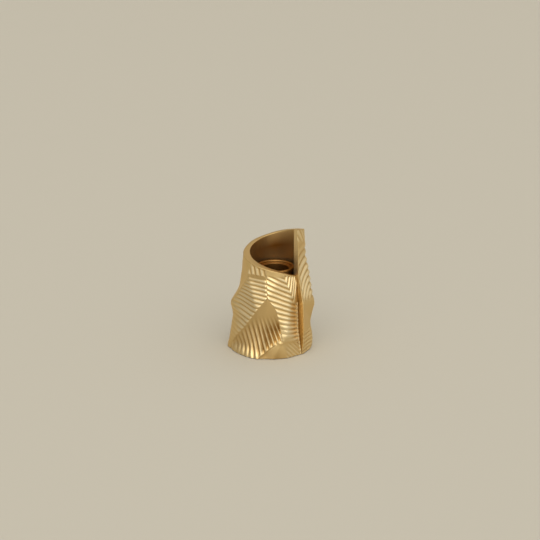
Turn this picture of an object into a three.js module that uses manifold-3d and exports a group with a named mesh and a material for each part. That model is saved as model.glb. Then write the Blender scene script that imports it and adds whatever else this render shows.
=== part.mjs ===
// A wrapped brass candlestick. A thick faceted wall rolls once round an upright well, its rim climbs as it
// goes, and its free end stands proud of where it began. A turned candle cup drops into a pillar in the well.
// Millimetres, +Z up. The origin is on the candle's axis, on the table. The wrap's open side faces -Y.

import * as THREE from "three";
import { mergeVertices } from "three/addons/utils/BufferGeometryUtils.js";
import Module from "manifold-3d";

const wasm = await Module();
wasm.setup();

// Driving dimensions: the candle cup
const CANDLE_BORE_RADIUS = 11.5;
const CANDLE_BORE_DEPTH = 20;
const CUP_STEP_WIDTH = 2.3; // the step round the mouth of the candle bore
const CUP_STEP_DEPTH = 2;
const CUP_LIP_WIDTH = 2.2;
const CUP_LIP_HEIGHT = 3.2;
const CUP_LIP_ABOVE_RIM = 2; // the cup's lip over the rim's low end
const CUP_WALL = 3;
const CUP_FLOOR = 3;
const SPIGOT_RADIUS = 7;
const SPIGOT_LENGTH = 8;
const SPIGOT_CLEARANCE = 0.15;
const SOCKET_EXTRA_DEPTH = 1.5;
const EDGE_CHAMFER = 0.4;

// Driving dimensions: the wrap
const START_ANGLE = -42; // degrees from +X, the upright plane where the wall begins and ends
const WELL_GAP = 4.6; // between the cup's lip and the well's wall
const FOOT_LIFT = 0.6; // the wall's lower edge stands this far off the table, on the pad
const FOOT_WALL = 7.8; // thickness at the foot, outside the base plate's seat
const HEEL_RISE = 12.4; // each rise is counted from the level below
const HEEL_WALL = 10.9; // thickness at this level and the next ones, from the well out
const WAIST_RISE = 11;
const WAIST_WALL = 9.4;
const BELLY_RISE = 17;
const BELLY_WALL = 10.4;
const SHOULDER_RISE = 12;
const SHOULDER_WALL = 8.4;
const NECK_RISE = 18;
const NECK_WALL = 5.9;
const CROWN_WALL = 4.9;
const RIM_DROP = 2; // the rim starts this far below the neck
const RIM_CLIMB = 37.5; // and climbs this much in its one turn

// Driving dimensions: the pillar, the base plate and the pad
const SOCKET_WALL = 4.5;
const PILLAR_HEAD_HEIGHT = 12.5;
const PILLAR_NECK_INSET = 3.5; // the stem is this much smaller than the head
const PILLAR_FLANGE_WIDTH = 5; // and the flange this much larger than the stem
const PILLAR_FLANGE_HEIGHT = 3;
const PLATE_THICKNESS = 3.6;
const PLATE_CLEARANCE = 0.3;
const PLATE_LEDGE = 5.6; // width of the ledge that the plate is screwed up against
const PAD_THICKNESS = 1.4;
const PAD_INSET = 1; // the pad is this much smaller than the base plate, all round

// Driving dimensions: screws
const PILLAR_SCREW = { shank: 2.9, head: 5.6, length: 16, socket: 2.2, socketDepth: 1.6 };
const PLATE_SCREW = { shank: 1.25, head: 2.3, length: 9, socket: 0.9, socketDepth: 0.8 };
const PLATE_SCREW_WALL = 1.1; // metal left between each plate screw's hole and the well
const PLATE_SCREW_COUNT = 3;
const PLATE_SCREW_FIRST_ANGLE = 90;
const SCREW_CLEARANCE = 0.15;
const SCREW_TIP_ROOM = 1;

// Fineness of the round surfaces
const ROUND_SIDES = 72;
const SCREW_SIDES = 24;
const RIM_STEPS = 72;
const CUT_OVERSHOOT = 2; // cutters run this far past the faces they open

const FULL_TURN = 360;
const radians = THREE.MathUtils.degToRad;

// Radii of the cup's mouth, of the well round it and of the base plate's seat
const cupStepRadius = CANDLE_BORE_RADIUS + CUP_STEP_WIDTH;
const cupLipRadius = cupStepRadius + CUP_LIP_WIDTH;
const wellRadius = cupLipRadius + WELL_GAP;
const plateSeatRadius = wellRadius + PLATE_LEDGE;

// Levels of the wrap, from the foot up. The crown lies above the rim, which cuts it away.
const footZ = FOOT_LIFT;
const heelZ = footZ + HEEL_RISE;
const waistZ = heelZ + WAIST_RISE;
const bellyZ = waistZ + BELLY_RISE;
const shoulderZ = bellyZ + SHOULDER_RISE;
const neckZ = shoulderZ + NECK_RISE;
const rimLow = neckZ - RIM_DROP;
const rimHigh = rimLow + RIM_CLIMB;
const LEVELS = {
  foot: { z: footZ, r: plateSeatRadius + FOOT_WALL },
  heel: { z: heelZ, r: wellRadius + HEEL_WALL },
  waist: { z: waistZ, r: wellRadius + WAIST_WALL },
  belly: { z: bellyZ, r: wellRadius + BELLY_WALL },
  shoulder: { z: shoulderZ, r: wellRadius + SHOULDER_WALL },
  neck: { z: neckZ, r: wellRadius + NECK_WALL },
  crown: { z: rimHigh + CUT_OVERSHOOT, r: wellRadius + CROWN_WALL },
};

// Corners of the facets: turn in degrees clockwise from the wall's start as seen from above, level, then how
// far the corner stands out of that level's radius and above its height.
const CORNERS = {
  startFoot: [0, "foot", -4, 0],
  startHeel: [0, "heel", -2.7, -4],
  startWaist: [0, "waist", -3.1, -2],
  startBelly: [0, "belly", -5.2, 3],
  startNeck: [0, "neck", -4, 0],
  startCrown: [0, "crown", -3, 0],

  ridgeLow: [28, "waist", 1, -4],
  ridgeMid: [19, "shoulder", -1.5, 2],
  chevronTop: [32, "neck", -0.5, 4],
  chevronCrown: [32, "crown", 0.5, 0],

  valleyFoot: [37, "heel", -0.5, 1.5],
  valleyLow: [40, "waist", -1.2, 0.5],
  valleyHigh: [46.3, "belly", -1.7, 0.3],
  apex: [59.5, "shoulder", 1, -1.5],
  seamTop: [63.7, "neck", 0.9, -1],
  seamCrown: [63.7, "crown", 1.5, 0],

  pleatRidge: [66, "waist", 2, -2],
  pleatFlareA: [80, "heel", 0.9, 1],
  pleatFlareB: [96, "heel", 1.3, -1.5],
  pleatFlareC: [116, "heel", 3.3, -5],
  pleatEdgeA: [78, "belly", 0.5, -0.6],
  pleatEdgeB: [91.4, "waist", 3, 5.7],
  pleatEdgeC: [108.6, "heel", 3.5, 5.3],

  leftBelly: [136, "belly", 5.4, -2],
  leftWaist: [138, "waist", 5.3, 5],
  leftTop: [99, "neck", 2, -4],
  leftNeck: [138, "neck", 0.8, -3],
  leftShoulder: [138, "shoulder", 0.6, 0],
  leftTopCrown: [99, "crown", 1.5, 0],
  leftCrown: [138, "crown", 1.3, 0],

  rearLeftHigh: [172, "shoulder", -1, 8],
  rearLeftLow: [168, "waist", 7, -2],
  rearLeftCrown: [172, "crown", -3.4, 0],
  rearMidCrown: [202, "crown", 0.5, 0],
  rearBelly: [200, "belly", 3, 2],
  rearHigh: [232, "neck", 1.5, -8],
  rearLow: [228, "waist", 3.5, -3],
  rearCrown: [232, "crown", -1.3, 0],
  rearFarCrown: [262, "crown", 0.3, 0],
  rearRightBelly: [262, "belly", 1.5, 0],
  rearRightHigh: [292, "neck", 0.8, -4],
  rearRightLow: [290, "waist", 0, -4],
  rearRightCrown: [292, "crown", 0, 0],

  rightBelly: [322, "belly", 1.9, -2],
  rightWaist: [322, "waist", -0.4, -0.5],
  rightHeel: [326, "heel", -0.5, -5],
  rightShoulder: [322, "neck", 1.5, 0],
  rightNeck: [320, "neck", -0.9, 9],
  rightCrown: [322, "crown", -1.6, 0],

  endFoot: [360, "foot", -3.6, 0],
  endHeel: [360, "heel", 0.3, -4],
  endWaist: [360, "waist", 2.2, -2],
  endBelly: [360, "belly", 0.4, 2],
  endNeck: [360, "neck", -0.5, -1],
  endCrown: [360, "crown", -0.3, 0],

  footA: [28, "foot", -2.8, 0],
  footB: [48, "foot", -0.7, 0],
  footC: [70, "foot", 0.4, 0],
  footD: [87, "foot", 0.4, 0],
  footE: [104, "foot", 0.6, 0],
  footF: [121, "foot", 2.4, 0],
  footG: [138, "foot", 5.6, 0],
  footH: [160, "foot", 4.5, 0],
  footI: [182, "foot", 3, 0],
  footJ: [204, "foot", 2.5, 0],
  footK: [228, "foot", 2, 0],
  footL: [252, "foot", 0.5, 0],
  footM: [276, "foot", -1.5, 0],
  footN: [298, "foot", -3.5, 0],
  footO: [318, "foot", -4, 0],
  footP: [338, "foot", -4.2, 0],
};

// Facets of the outer face, as rings of corners, panel by panel round the wrap.
const PANELS = {
  toePlain: [["footA", "valleyFoot", "footC", "footB"]],
  toeFan: [["startFoot", "startHeel", "valleyFoot", "footA"]],
  frontFan: [
    ["startHeel", "startWaist", "ridgeLow", "valleyFoot"],
    ["valleyFoot", "ridgeLow", "valleyLow"],
    ["startWaist", "startBelly", "ridgeLow"],
    ["ridgeLow", "startBelly", "ridgeMid"],
    ["ridgeLow", "ridgeMid", "valleyHigh"],
    ["ridgeLow", "valleyHigh", "valleyLow"],
    ["ridgeMid", "apex", "valleyHigh"],
    ["ridgeMid", "chevronTop", "apex"],
    ["chevronTop", "seamTop", "apex"],
    ["chevronTop", "chevronCrown", "seamCrown", "seamTop"],
  ],
  chevronSide: [
    ["startBelly", "startNeck", "ridgeMid"],
    ["startNeck", "chevronTop", "ridgeMid"],
    ["startNeck", "startCrown", "chevronCrown", "chevronTop"],
  ],
  rimReed: [["seamTop", "seamCrown", "leftTopCrown", "leftTop"]],
  leftFan: [
    ["apex", "seamTop", "leftTop"],
    ["apex", "leftTop", "pleatEdgeA"],
    ["pleatEdgeA", "leftTop", "leftBelly"],
    ["pleatEdgeA", "leftBelly", "pleatEdgeB"],
    ["pleatEdgeB", "leftBelly", "leftWaist"],
    ["pleatEdgeB", "leftWaist", "pleatEdgeC"],
    ["pleatEdgeC", "leftWaist", "footG"],
  ],
  leftPlain: [
    ["leftTop", "leftNeck", "leftShoulder"],
    ["leftTop", "leftShoulder", "leftBelly"],
    ["leftTop", "leftTopCrown", "leftCrown", "leftNeck"],
  ],
  pleatLeft: [
    ["apex", "pleatEdgeA", "pleatRidge"],
    ["pleatEdgeA", "pleatFlareA", "pleatRidge"],
    ["pleatEdgeA", "pleatEdgeB", "pleatFlareA"],
    ["pleatEdgeB", "pleatFlareB", "pleatFlareA"],
    ["pleatEdgeB", "pleatEdgeC", "pleatFlareB"],
    ["pleatEdgeC", "pleatFlareC", "pleatFlareB"],
    ["pleatEdgeC", "footG", "pleatFlareC"],
    ["pleatRidge", "pleatFlareA", "footD", "footC"],
    ["pleatFlareA", "pleatFlareB", "footE", "footD"],
    ["pleatFlareB", "pleatFlareC", "footF", "footE"],
    ["pleatFlareC", "footG", "footF"],
  ],
  pleatRight: [
    ["apex", "pleatRidge", "valleyHigh"],
    ["valleyHigh", "pleatRidge", "valleyLow"],
    ["valleyLow", "pleatRidge", "valleyFoot"],
    ["valleyFoot", "pleatRidge", "footC"],
  ],
  rearLeftPlain: [
    ["leftBelly", "leftShoulder", "rearLeftHigh"],
    ["leftShoulder", "leftNeck", "rearLeftHigh"],
    ["leftNeck", "leftCrown", "rearLeftCrown", "rearLeftHigh"],
  ],
  rearLeftFan: [
    ["leftBelly", "rearLeftHigh", "rearBelly"],
    ["leftBelly", "rearBelly", "rearLeftLow"],
    ["leftBelly", "rearLeftLow", "leftWaist"],
  ],
  rearLeftFoot: [
    ["leftWaist", "rearLeftLow", "footG"],
    ["footG", "rearLeftLow", "footH"],
    ["rearLeftLow", "footI", "footH"],
  ],
  rearPleat: [
    ["rearLeftLow", "rearBelly", "rearLow"],
    ["rearLeftLow", "rearLow", "footJ", "footI"],
    ["rearLow", "footK", "footJ"],
  ],
  rearHighReed: [
    ["rearLeftHigh", "rearHigh", "rearBelly"],
    ["rearLeftHigh", "rearLeftCrown", "rearMidCrown", "rearCrown", "rearHigh"],
  ],
  rearFan: [
    ["rearBelly", "rearHigh", "rearRightBelly"],
    ["rearBelly", "rearRightBelly", "rearLow"],
  ],
  rearRightPleat: [
    ["rearLow", "rearRightBelly", "rearRightLow"],
    ["rearLow", "rearRightLow", "footL"],
    ["rearLow", "footL", "footK"],
    ["rearRightLow", "footM", "footL"],
  ],
  rearRightPlain: [
    ["rearHigh", "rearRightHigh", "rearRightBelly"],
    ["rearHigh", "rearCrown", "rearFarCrown", "rearRightCrown", "rearRightHigh"],
  ],
  rightFan: [
    ["rearRightBelly", "rearRightHigh", "rightBelly"],
    ["rearRightBelly", "rightBelly", "rearRightLow"],
    ["rearRightLow", "rightBelly", "rightWaist"],
  ],
  rightFoot: [
    ["rearRightLow", "rightWaist", "rightHeel"],
    ["rearRightLow", "rightHeel", "footN"],
    ["rearRightLow", "footN", "footM"],
    ["rightHeel", "footO", "footN"],
    ["rightHeel", "footP", "footO"],
  ],
  rightHighReed: [
    ["rearRightHigh", "rightShoulder", "rightBelly"],
    ["rearRightHigh", "rightNeck", "rightShoulder"],
    ["rearRightHigh", "rearRightCrown", "rightCrown", "rightNeck"],
  ],
  flapReed: [
    ["rightBelly", "rightShoulder", "endNeck"],
    ["rightBelly", "endNeck", "endBelly"],
    ["rightShoulder", "rightNeck", "endNeck"],
  ],
  flapTip: [["rightNeck", "rightCrown", "endCrown", "endNeck"]],
  flapPlain: [
    ["rightWaist", "rightBelly", "endBelly"],
    ["rightWaist", "endBelly", "endWaist"],
  ],
  flapFoot: [
    ["rightHeel", "rightWaist", "endWaist"],
    ["rightHeel", "endWaist", "endHeel"],
    ["rightHeel", "endHeel", "footP"],
    ["footP", "endHeel", "endFoot"],
  ],
};

// A corner's place: turn, radius and height.
function corner(name) {
  const [turn, levelName, out, up] = CORNERS[name];
  const level = LEVELS[levelName];
  return { turn, r: level.r + out, z: level.z + up };
}

// A point at a turn of the wrap, a radius and a height.
function wrapPoint(turn, r, z) {
  const angle = radians(START_ANGLE - turn);
  return new THREE.Vector3(r * Math.cos(angle), r * Math.sin(angle), z);
}

function cornerPoint(name) {
  const { turn, r, z } = corner(name);
  return wrapPoint(turn, r, z);
}

// Corners that lie on a level, in order round the wrap.
function cornersOn(level) {
  return Object.keys(CORNERS)
    .filter((name) => CORNERS[name][1] === level)
    .sort((a, b) => CORNERS[a][0] - CORNERS[b][0] || (a.startsWith("start") ? -1 : 1));
}

// Triangles of a flat ring of points. The flat outline is given too, and sets which way they face.
function triangles(points, outline, flip = false) {
  const clockwise = THREE.ShapeUtils.isClockWise(outline);
  const order = points.map((_, i) => i);
  if (clockwise) order.reverse();
  const flat = order.map((i) => outline[i]);
  return THREE.ShapeUtils.triangulateShape(flat, []).map((face) => {
    const [a, b, c] = face.map((i) => points[order[i]]);
    return flip ? [a, c, b] : [a, b, c];
  });
}

// A closed solid from triangles of points.
function solidFromTriangles(faces) {
  const geometry = new THREE.BufferGeometry().setFromPoints(faces.flat());
  return solidFromGeometry(geometry);
}

function solidFromGeometry(geometry) {
  const bare = geometry.clone();
  bare.deleteAttribute("normal");
  bare.deleteAttribute("uv");
  const merged = mergeVertices(bare, 1e-4);
  return new wasm.Manifold(
    new wasm.Mesh({
      numProp: 3,
      vertProperties: new Float32Array(merged.attributes.position.array),
      triVerts: new Uint32Array(merged.index.array),
    }),
  );
}

function geometryFromSolid(solid) {
  const { numProp, numVert, vertProperties, triVerts } = solid.getMesh();
  const positions = new Float32Array(numVert * 3);
  for (let i = 0; i < numVert; i++) {
    positions.set(vertProperties.subarray(i * numProp, i * numProp + 3), i * 3);
  }
  const geometry = new THREE.BufferGeometry();
  geometry.setAttribute("position", new THREE.BufferAttribute(positions, 3));
  geometry.setIndex(new THREE.BufferAttribute(new Uint32Array(triVerts), 1));
  return geometry;
}

// A solid turned about +Z from a profile of [radius, height] pairs that runs up the outside from the axis.
function turned(profile, sides = ROUND_SIDES) {
  const points = profile.map(([r, z]) => new THREE.Vector2(r, z));
  return new THREE.LatheGeometry(points, sides).rotateX(Math.PI / 2);
}

function turnedSolid(profile, sides) {
  return solidFromGeometry(turned(profile, sides));
}

function plug(radius, low, high, sides) {
  return turnedSolid([[0, low], [radius, low], [radius, high], [0, high]], sides);
}

// The wrap before it is hollowed: facets outside, flat ends, and the step where the wall's end overlaps its
// start.
function wrapBlank() {
  const faces = [];
  for (const facets of Object.values(PANELS)) {
    for (const names of facets) {
      const unrolled = names.map((name) => new THREE.Vector2(-corner(name).turn, corner(name).z));
      faces.push(...triangles(names.map(cornerPoint), unrolled));
    }
  }
  for (const level of ["foot", "crown"]) {
    const ring = cornersOn(level).map(cornerPoint);
    const seenFromAbove = ring.map((p) => new THREE.Vector2(p.x, p.y));
    faces.push(...triangles(ring, seenFromAbove, level === "foot"));
  }
  const edge = (side) =>
    Object.keys(CORNERS)
      .filter((name) => name.startsWith(side))
      .sort((a, b) => corner(a).z - corner(b).z);
  const step = [...edge("start"), ...edge("end").reverse()];
  const seenFromStart = step.map((name) => new THREE.Vector2(corner(name).r, corner(name).z));
  faces.push(...triangles(step.map(cornerPoint), seenFromStart));
  return solidFromTriangles(faces);
}

// Everything above the climbing rim: a ramp of one turn with a flat top, closed by an upright face at its
// jump.
function aboveRim() {
  const reach = 2 * LEVELS.foot.r;
  const core = wellRadius / 2;
  const top = rimHigh + 2 * CUT_OVERSHOOT;
  const turnAt = (i) => (FULL_TURN * i) / RIM_STEPS;
  const low = (i, r) => wrapPoint(turnAt(i), r, rimLow + (RIM_CLIMB * i) / RIM_STEPS);
  const high = (i, r) => wrapPoint(turnAt(i % RIM_STEPS), r, top);
  const faces = [];
  const quad = (a, b, c, d) => faces.push([a, b, c], [a, c, d]);
  for (let i = 0; i < RIM_STEPS; i++) {
    quad(low(i, core), low(i, reach), low(i + 1, reach), low(i + 1, core));
    quad(high(i, core), high(i + 1, core), high(i + 1, reach), high(i, reach));
  }
  for (let i = 1; i < RIM_STEPS; i++) {
    quad(low(i, reach), high(i, reach), high(i + 1, reach), low(i + 1, reach));
    quad(low(i, core), low(i + 1, core), high(i + 1, core), high(i, core));
  }
  // The walls beside the jump also meet the ramp's high end.
  const jump = RIM_STEPS;
  const wallStart = (r) => [low(0, r), low(jump, r), high(0, r), high(1, r), low(1, r)];
  const fan = ([first, hub, ...rest]) => {
    const ring = [...rest, first];
    for (let i = 0; i + 1 < ring.length; i++) {
      faces.push([hub, ring[i], ring[i + 1]]);
    }
  };
  fan(wallStart(reach));
  fan(wallStart(core).reverse());
  quad(low(0, core), low(jump, core), low(jump, reach), low(0, reach));
  return solidFromTriangles(faces);
}

// Heights and radii that follow from the driving dimensions
const plateLow = PAD_THICKNESS;
const plateHigh = plateLow + PLATE_THICKNESS;
const plateRadius = plateSeatRadius - PLATE_CLEARANCE;
const plateScrewRadius = wellRadius + PLATE_SCREW_WALL + PLATE_SCREW.shank + SCREW_CLEARANCE;
const cupLip = rimLow + CUP_LIP_ABOVE_RIM;
const cupLedge = cupLip - CUP_STEP_DEPTH;
const candleFloor = cupLedge - CANDLE_BORE_DEPTH;
const cupBottom = candleFloor - CUP_FLOOR;
const spigotLow = cupBottom - SPIGOT_LENGTH;
const socketFloor = spigotLow - SOCKET_EXTRA_DEPTH;
const socketRadius = SPIGOT_RADIUS + SPIGOT_CLEARANCE;
const pillarHeadRadius = socketRadius + SOCKET_WALL;
const pillarStemRadius = pillarHeadRadius - PILLAR_NECK_INSET;
const pillarFlangeRadius = pillarStemRadius + PILLAR_FLANGE_WIDTH;

// A flat-headed screw pointing up from its head's face, with a six-sided socket.
function flatHeadScrew({ shank, head, length, socket, socketDepth }) {
  const cone = head - shank;
  const body = turnedSolid(
    [
      [0, 0],
      [head, 0],
      [shank, cone],
      [shank, length - shank / 2],
      [shank / 2, length],
      [0, length],
    ],
    SCREW_SIDES,
  );
  const key = new THREE.CylinderGeometry(socket, socket, 2 * socketDepth, 6).rotateX(Math.PI / 2);
  return body.subtract(solidFromGeometry(key));
}

// The room that a flat-headed screw needs, with clearance round it and at its tip.
function screwRoom({ shank, head, length }) {
  const c = SCREW_CLEARANCE;
  const cone = head - shank;
  return turnedSolid(
    [
      [0, -CUT_OVERSHOOT],
      [head + c, -CUT_OVERSHOOT],
      [head + c, c],
      [shank + c, cone + c],
      [shank + c, length + SCREW_TIP_ROOM],
      [0, length + SCREW_TIP_ROOM],
    ],
    SCREW_SIDES,
  );
}

const plateScrewPlaces = Array.from({ length: PLATE_SCREW_COUNT }, (_, i) => {
  const angle = radians(PLATE_SCREW_FIRST_ANGLE + (FULL_TURN * i) / PLATE_SCREW_COUNT);
  return [plateScrewRadius * Math.cos(angle), plateScrewRadius * Math.sin(angle), plateLow];
});

function outerShell() {
  let shell = wrapBlank().subtract(aboveRim());
  shell = shell.subtract(plug(wellRadius, footZ - CUT_OVERSHOOT, rimHigh + CUT_OVERSHOOT));
  shell = shell.subtract(plug(plateSeatRadius, footZ - CUT_OVERSHOOT, plateHigh));
  for (const place of plateScrewPlaces) {
    shell = shell.subtract(screwRoom(PLATE_SCREW).translate(place));
  }
  return shell;
}

function basePlate() {
  let plate = turnedSolid([
    [0, plateLow],
    [plateRadius - EDGE_CHAMFER, plateLow],
    [plateRadius, plateLow + EDGE_CHAMFER],
    [plateRadius, plateHigh],
    [0, plateHigh],
  ]);
  plate = plate.subtract(screwRoom(PILLAR_SCREW).translate([0, 0, plateLow]));
  for (const place of plateScrewPlaces) {
    plate = plate.subtract(screwRoom(PLATE_SCREW).translate(place));
  }
  return plate;
}

function cupPillar() {
  const headLow = cupBottom - PILLAR_HEAD_HEIGHT;
  const flangeHigh = plateHigh + PILLAR_FLANGE_HEIGHT;
  const body = turnedSolid([
    [0, plateHigh],
    [pillarFlangeRadius, plateHigh],
    [pillarFlangeRadius, flangeHigh - EDGE_CHAMFER],
    [pillarFlangeRadius - EDGE_CHAMFER, flangeHigh],
    [pillarStemRadius, flangeHigh],
    [pillarStemRadius, headLow - PILLAR_NECK_INSET],
    [pillarHeadRadius, headLow],
    [pillarHeadRadius, cupBottom],
    [socketRadius, cupBottom],
    [socketRadius, socketFloor],
    [0, socketFloor],
  ]);
  return body.subtract(screwRoom(PILLAR_SCREW).translate([0, 0, plateLow]));
}

function candleCup() {
  const bodyRadius = CANDLE_BORE_RADIUS + CUP_WALL;
  return turned([
    [0, spigotLow],
    [SPIGOT_RADIUS - EDGE_CHAMFER, spigotLow],
    [SPIGOT_RADIUS, spigotLow + EDGE_CHAMFER],
    [SPIGOT_RADIUS, cupBottom],
    [bodyRadius - EDGE_CHAMFER, cupBottom],
    [bodyRadius, cupBottom + EDGE_CHAMFER],
    [bodyRadius, cupLip - CUP_LIP_HEIGHT],
    [cupLipRadius, cupLip - CUP_LIP_HEIGHT],
    [cupLipRadius, cupLip - EDGE_CHAMFER],
    [cupLipRadius - EDGE_CHAMFER, cupLip],
    [cupStepRadius, cupLip],
    [cupStepRadius, cupLedge],
    [CANDLE_BORE_RADIUS, cupLedge],
    [CANDLE_BORE_RADIUS, candleFloor],
    [0, candleFloor],
  ]);
}

function feltPad() {
  const radius = plateRadius - PAD_INSET;
  return turned([
    [0, 0],
    [radius, 0],
    [radius, PAD_THICKNESS],
    [0, PAD_THICKNESS],
  ]);
}

// Finishes
const satinBrass = new THREE.MeshStandardMaterial({ color: 0xb9924f, roughness: 0.35, metalness: 1 });
const turnedBrass = new THREE.MeshStandardMaterial({ color: 0xa8823f, roughness: 0.3, metalness: 1 });
const plainSteel = new THREE.MeshStandardMaterial({ color: 0x8d8f92, roughness: 0.45, metalness: 1 });
const darkFelt = new THREE.MeshStandardMaterial({ color: 0x2c2a28, roughness: 0.95, metalness: 0 });

function piece(name, geometry, material) {
  const mesh = new THREE.Mesh(geometry, material);
  mesh.name = name;
  return mesh;
}

const candlestick = new THREE.Group();
candlestick.add(
  piece("outer_shell", geometryFromSolid(outerShell()), satinBrass),
  piece("base_plate", geometryFromSolid(basePlate()), plainSteel),
  piece("felt_pad", feltPad(), darkFelt),
  piece("cup_pillar", geometryFromSolid(cupPillar()), turnedBrass),
  piece("candle_cup", candleCup(), turnedBrass),
);

const pillarScrew = piece("pillar_screw", geometryFromSolid(flatHeadScrew(PILLAR_SCREW)), plainSteel);
pillarScrew.position.set(0, 0, plateLow);
candlestick.add(pillarScrew);

plateScrewPlaces.forEach((place, i) => {
  const screw = piece(`plate_screw_${i + 1}`, geometryFromSolid(flatHeadScrew(PLATE_SCREW)), plainSteel);
  screw.position.set(...place);
  candlestick.add(screw);
});

export default candlestick;
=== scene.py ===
"""Looks of a wrapped brass candlestick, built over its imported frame.

The shell's outside is a fine grid laid over the frame's faceted wall. Its folds are softened, and its panels, reeds
and seams are pressed into it. The rim, the well and the foot are extruded from its edges, and the turned pieces are
spun. A spot on the wall is given by its turn, clockwise from the wall's start, and its height.
Sizes are in millimetres and angles in degrees; MM turns a size into Blender's metres.
"""

import logging
import math
from dataclasses import dataclass, field
from enum import Enum
from functools import cache
from typing import Any, NamedTuple

import bmesh
import bpy
import numpy as np
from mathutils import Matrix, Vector
from mathutils.bvhtree import BVHTree


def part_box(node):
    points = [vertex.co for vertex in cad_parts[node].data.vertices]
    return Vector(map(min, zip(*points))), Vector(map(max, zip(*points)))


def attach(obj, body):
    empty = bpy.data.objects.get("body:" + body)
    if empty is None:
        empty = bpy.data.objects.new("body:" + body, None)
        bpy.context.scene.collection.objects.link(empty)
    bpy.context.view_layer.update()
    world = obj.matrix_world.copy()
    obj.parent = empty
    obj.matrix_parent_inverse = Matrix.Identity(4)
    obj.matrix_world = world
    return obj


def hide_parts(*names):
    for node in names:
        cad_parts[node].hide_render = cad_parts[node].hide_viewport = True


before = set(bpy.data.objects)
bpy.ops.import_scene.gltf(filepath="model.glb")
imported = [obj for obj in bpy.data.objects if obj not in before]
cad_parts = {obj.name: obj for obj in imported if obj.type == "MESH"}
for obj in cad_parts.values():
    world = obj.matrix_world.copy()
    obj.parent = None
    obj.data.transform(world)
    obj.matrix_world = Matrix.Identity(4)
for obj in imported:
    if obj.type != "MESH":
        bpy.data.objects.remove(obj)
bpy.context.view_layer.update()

LOG = logging.getLogger("candlestick")
MM = 0.001

START_ANGLE = -42.0  # from +X: the upright plane where the wall begins and ends
GUIDE_RADIUS = 30.0  # reed lines are laid out on a cylinder of this radius
GUIDE_ARC = math.radians(GUIDE_RADIUS)  # millimetres along it for each degree of turn
RIM_LOW, RIM_CLIMB = 69.0, 37.5  # the height that the rim climbs from, and its climb in one turn
RIM_DIP, DIP_REACH = 1.5, 50.0  # how far below that it starts, and the turn over which it catches up
UP = Vector((0, 0, 1))

LEAST_BLUR = 0.05  # the narrowest average that the folds are softened with
LEAST_PITCH = 0.1  # crest lines count as at least this far apart
POLE_WELD = 0.0005  # what lies this near to a turned piece's axis is on it
CORNER_ANGLE, CORNER_STRIPS = 35.0, 4  # corners that bend more are rounded, with this many strips

Field = np.ndarray  # one number for each point of a grid
Number = float | Field
Colour = Triple = tuple[float, float, float]
Object, Material = bpy.types.Object, bpy.types.Material
Tree, Socket, Outputs = bpy.types.NodeTree, bpy.types.NodeSocket, bpy.types.bpy_prop_collection
Inputs, Names = dict[str | int, Any], tuple[str, ...]
Mesh, Vert, Edge = bmesh.types.BMesh, bmesh.types.BMVert, bmesh.types.BMEdge
Edges = list[Edge]


class Body(Enum):
    """Bodies of the frame."""

    STAND = "stand"
    CUP = "cup"


class Slot(Enum):
    """Material slots of the record."""

    SATIN_BRASS = "satin_brass"
    TURNED_BRASS = "turned_brass"
    PLAIN_STEEL = "plain_steel"
    DARK_FELT = "dark_felt"


# Places on the wrap


def outward(turn: float) -> Vector:
    """The level direction away from the candle's axis, at a turn clockwise from the wall's start."""
    angle = math.radians(START_ANGLE - turn)
    return Vector((math.cos(angle), math.sin(angle), 0.0))


def smooth_step(share: Number) -> Number:
    """A smooth rise: 0 up to 0, and 1 from 1 on."""
    share = np.clip(share, 0.0, 1.0)
    return share * share * (3.0 - 2.0 * share)


def rim_height(turn: Number) -> Number:
    """The rim's height at a turn."""
    return RIM_LOW + RIM_CLIMB * turn / 360.0 - RIM_DIP * (1.0 - smooth_step(turn / DIP_REACH))


def along_line(places: Field, keys: list[float], values: list[float]) -> Field:
    """Follows a line of points, and carries its ends straight on.

    Args:
        places: Where to read it.
        keys: The points' places, rising.
        values: Their values.

    Returns:
        The line's value at each place.
    """
    first = (values[1] - values[0]) / (keys[1] - keys[0])
    last = (values[-1] - values[-2]) / (keys[-1] - keys[-2])
    ends = np.minimum(places - keys[0], 0.0) * first + np.maximum(places - keys[-1], 0.0) * last
    return np.interp(places, keys, values) + ends


def blur(places: Field, width: float) -> Field:
    """Weights that average a row of numbers over a width, and less near its ends.

    Args:
        places: Where the numbers lie, in millimetres.
        width: The width of the average, in millimetres.

    Returns:
        A square of weights.
    """
    room = np.minimum(places - places[0], places[-1] - places)
    widths = np.minimum(width, 0.5 * room + LEAST_BLUR)
    weights = np.exp(-0.5 * ((places[:, None] - places[None, :]) / widths[:, None]) ** 2)
    return weights / weights.sum(axis=1, keepdims=True)


class Spot(NamedTuple):
    """A place on the unrolled wrap: a turn and a height."""

    turn: float
    height: float


Line = tuple[Spot, ...]
S = Spot


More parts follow.
